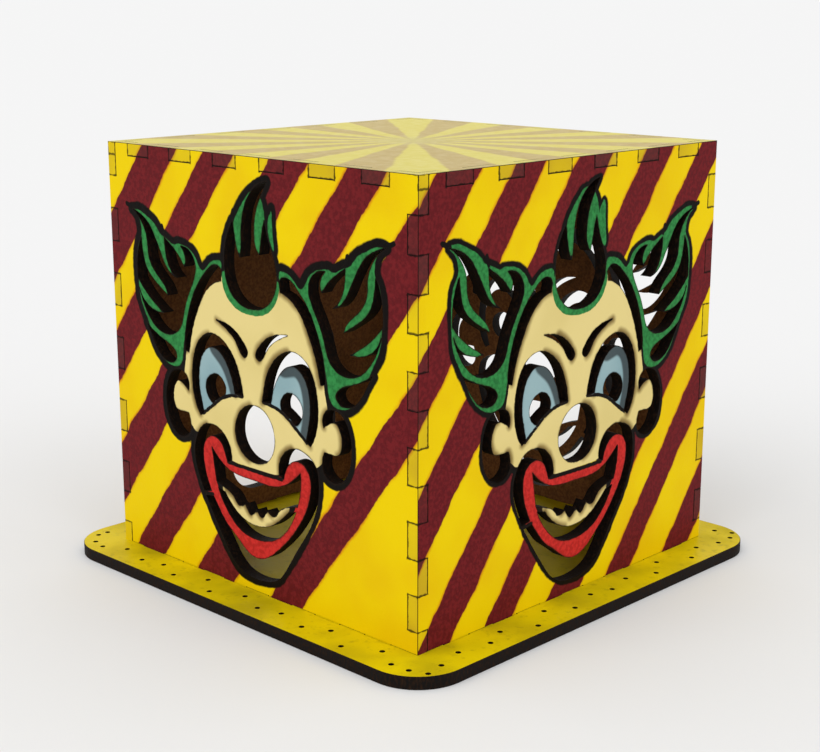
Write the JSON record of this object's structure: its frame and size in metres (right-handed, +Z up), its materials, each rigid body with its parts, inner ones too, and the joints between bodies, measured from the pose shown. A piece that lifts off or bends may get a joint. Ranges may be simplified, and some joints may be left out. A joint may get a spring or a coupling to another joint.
{
  "type": "fretwork light box",
  "caption": "Square wooden box with a clown's face pierced through its walls and a lamp doorway, finger-jointed, lifting off a rounded base plate.",
  "frame": {"origin": "middle of the base plate's underside, on the surface it stands on", "axes": "+Z up; -Y out of the front wall; +X out of the right wall"},
  "size_m": [0.127, 0.127, 0.105],
  "materials": {
    "base_board": "yellow gloss paint on MDF, dark laser-cut edges",
    "wall_board": "hand-painted yellow and maroon stripes with a painted face, dark laser-cut edges",
    "top_board": "hand-painted yellow and maroon rays on MDF"
  },
  "bodies": {
    "base": {"base_plate": "base_board"},
    "shell": {"wall_front": "wall_board", "wall_right": "wall_board", "wall_back": "wall_board", "wall_left": "wall_board", "top_panel": "top_board"}
  },
  "joints": [
    {"name": "shell_lift", "type": "slide", "parent": "base", "child": "shell", "axis": [0, 0, 1], "range_m": [0, 0.03]}
  ]
}
